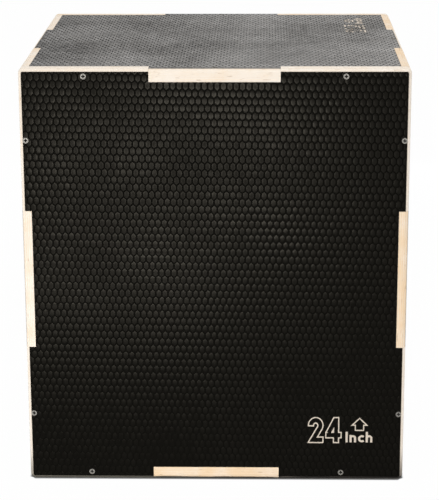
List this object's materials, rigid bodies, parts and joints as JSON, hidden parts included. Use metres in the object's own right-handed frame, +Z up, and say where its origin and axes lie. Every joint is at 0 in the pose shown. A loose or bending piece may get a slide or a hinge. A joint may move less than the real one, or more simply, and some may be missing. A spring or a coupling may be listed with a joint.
{
  "type": "plyo box",
  "caption": "Free-standing plyometric jump box of film-faced plywood panels with interlocking tabs and countersunk screws, a hand hole at each end and an inner brace.",
  "frame": {"origin": "middle of the base, on the floor", "axes": "+Z up, -Y out of the face that carries the height mark (the front), +X to the right seen from the front"},
  "size_m": [0.5462, 0.508, 0.6096],
  "materials": {
    "grip_film": "black anti-slip phenolic film with raised cells",
    "plywood": "birch plywood, cut edges sanded",
    "backing_film": "smooth dark brown phenolic film",
    "screw_steel": "zinc plated",
    "brace_plywood": "birch plywood, unfaced"
  },
  "bodies": {
    "root": {"front_film": "grip_film", "front_panel": "plywood", "front_backing": "backing_film", "front_screws": "screw_steel", "back_film": "grip_film", "back_panel": "plywood", "back_backing": "backing_film", "back_screws": "screw_steel", "left_film": "grip_film", "left_panel": "plywood", "left_backing": "backing_film", "left_screws": "screw_steel", "right_film": "grip_film", "right_panel": "plywood", "right_backing": "backing_film", "right_screws": "screw_steel", "top_film": "grip_film", "top_panel": "plywood", "top_backing": "backing_film", "top_screws": "screw_steel", "bottom_film": "grip_film", "bottom_panel": "plywood", "bottom_backing": "backing_film", "bottom_screws": "screw_steel", "inner_brace": "brace_plywood"}
  },
  "joints": []
}
